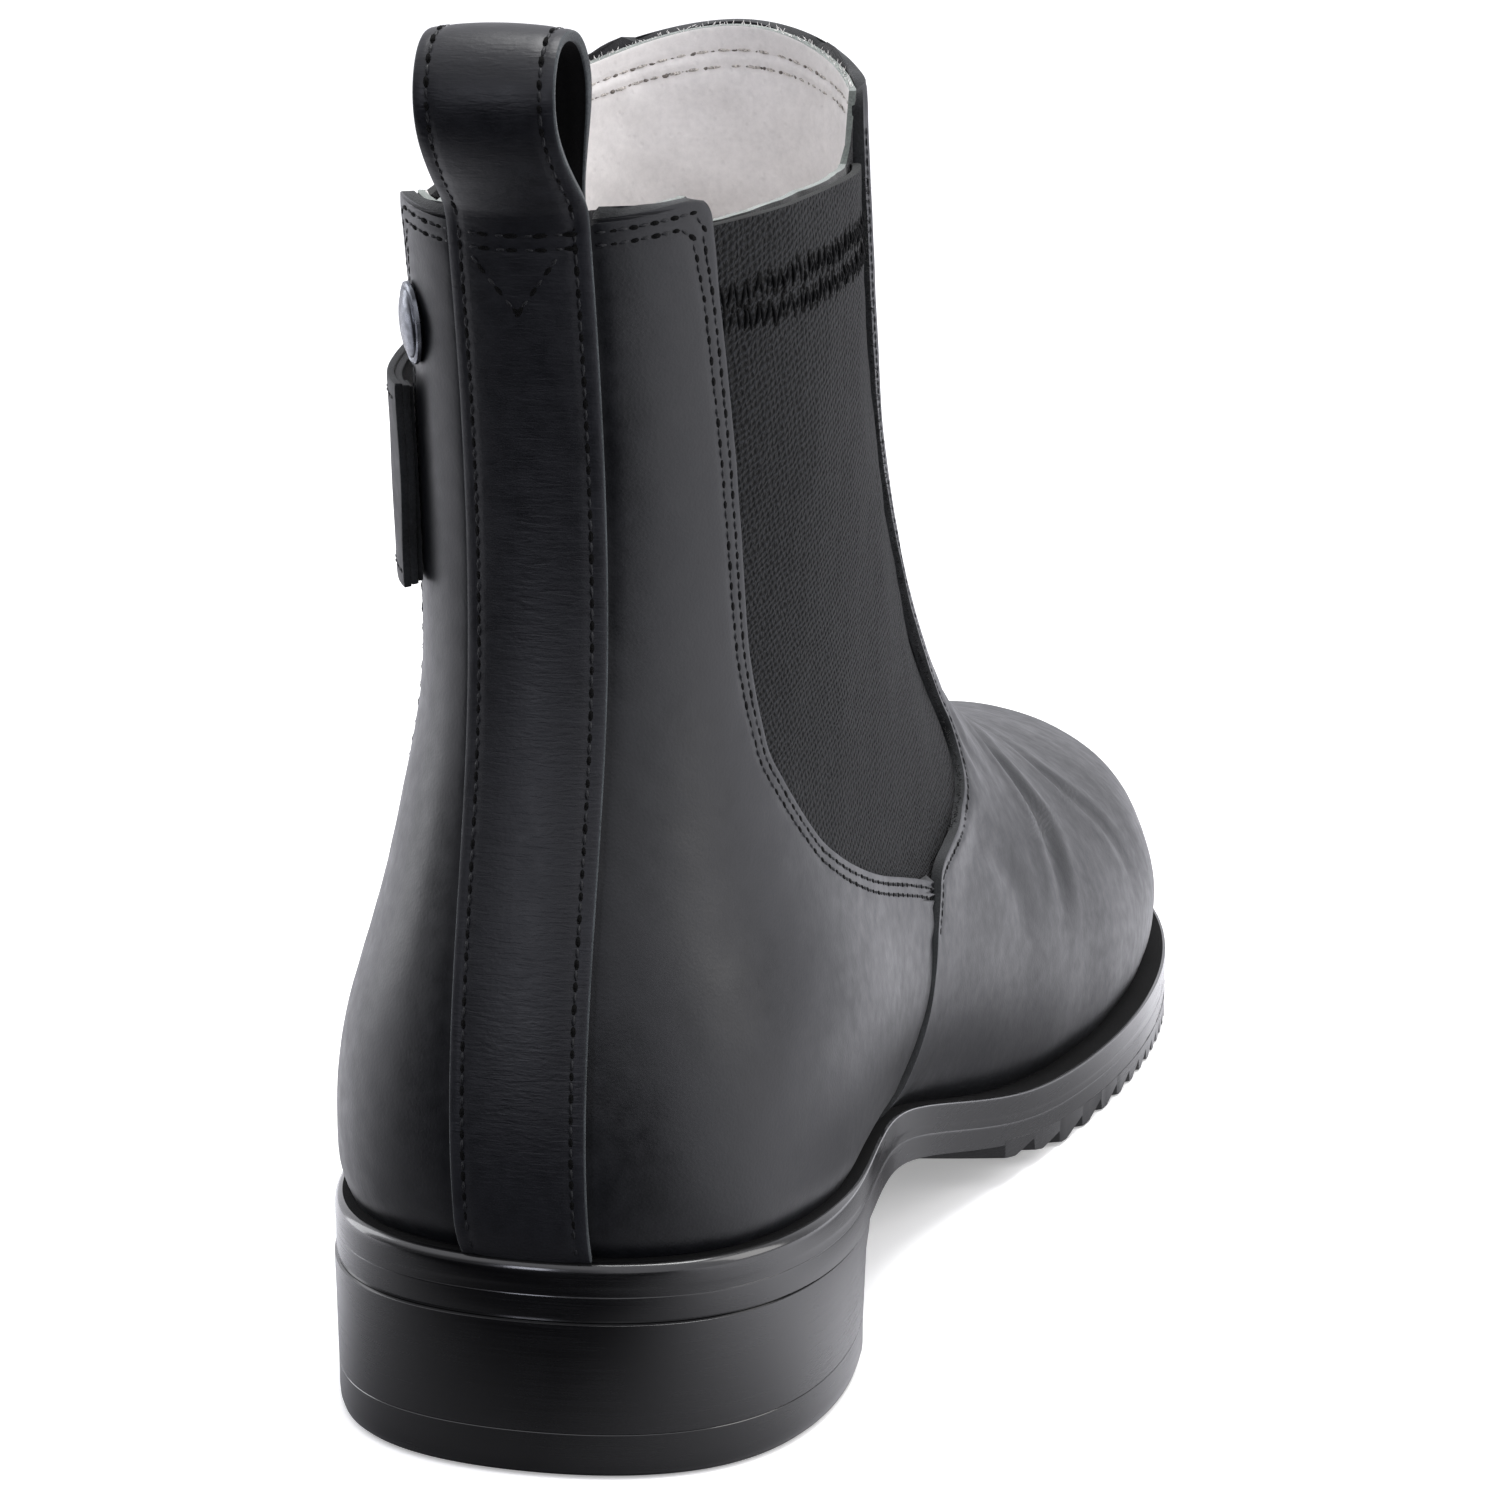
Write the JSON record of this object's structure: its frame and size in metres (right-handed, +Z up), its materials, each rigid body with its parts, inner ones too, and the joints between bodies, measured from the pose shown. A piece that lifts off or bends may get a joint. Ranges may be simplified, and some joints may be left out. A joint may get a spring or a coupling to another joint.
{
  "type": "rider's ankle boot",
  "caption": "Left ankle boot in leather with elastic side gores, back strap and pull loop, snap side strap, rubber sole and low block heel.",
  "frame": {"origin": "centre of the heel on the ground, under the seat of the heel", "axes": "+Y to the toe, +X to the inner side of the foot, +Z up"},
  "size_m": [0.1036, 0.2953, 0.1899],
  "materials": {
    "black_leather": "satin smooth leather",
    "strap_leather": "smooth dyed leather",
    "lining_leather": "matte lining leather",
    "elastic": "ribbed elastic webbing",
    "stiffener": "matte",
    "board": "matte pressed board",
    "cork": "matte cork",
    "sole_rubber": "polished rubber",
    "steel": "nickelled",
    "gunmetal": "dark polished"
  },
  "bodies": {
    "boot": {"vamp": "black_leather", "quarter_inner": "black_leather", "quarter_outer": "black_leather", "back_strap": "strap_leather", "loop_tail": "strap_leather", "gore_inner": "elastic", "gore_outer": "elastic", "lining_front": "lining_leather", "lining_rear": "lining_leather", "heel_counter": "stiffener", "toe_puff": "stiffener", "insole_board": "board", "footbed": "lining_leather", "forefoot_filler": "cork", "shank": "steel", "midsole_rand": "sole_rubber", "outsole": "sole_rubber", "heel_block": "sole_rubber", "heel_lift": "sole_rubber", "oval_stud": "gunmetal", "side_strap_base": "strap_leather", "snap_stud": "steel"},
    "pull_loop": {"pull_loop": "strap_leather"},
    "side_strap": {"side_strap": "strap_leather", "snap_cap": "gunmetal", "snap_socket": "steel"}
  },
  "joints": [
    {"name": "pull_loop_flex", "type": "hinge", "parent": "boot", "child": "pull_loop", "pos_m": [0.00058, -0.0322, 0.1666], "axis": [1, 0, 0], "range_deg": [-10, 10], "stiffness_Nm_per_rad": 0.05},
    {"name": "side_strap_open", "type": "hinge", "parent": "boot", "child": "side_strap", "pos_m": [-0.0231, -0.01345, 0.12835], "axis": [0.0004, -0.1051, 0.9945], "range_deg": [0, 100]}
  ]
}
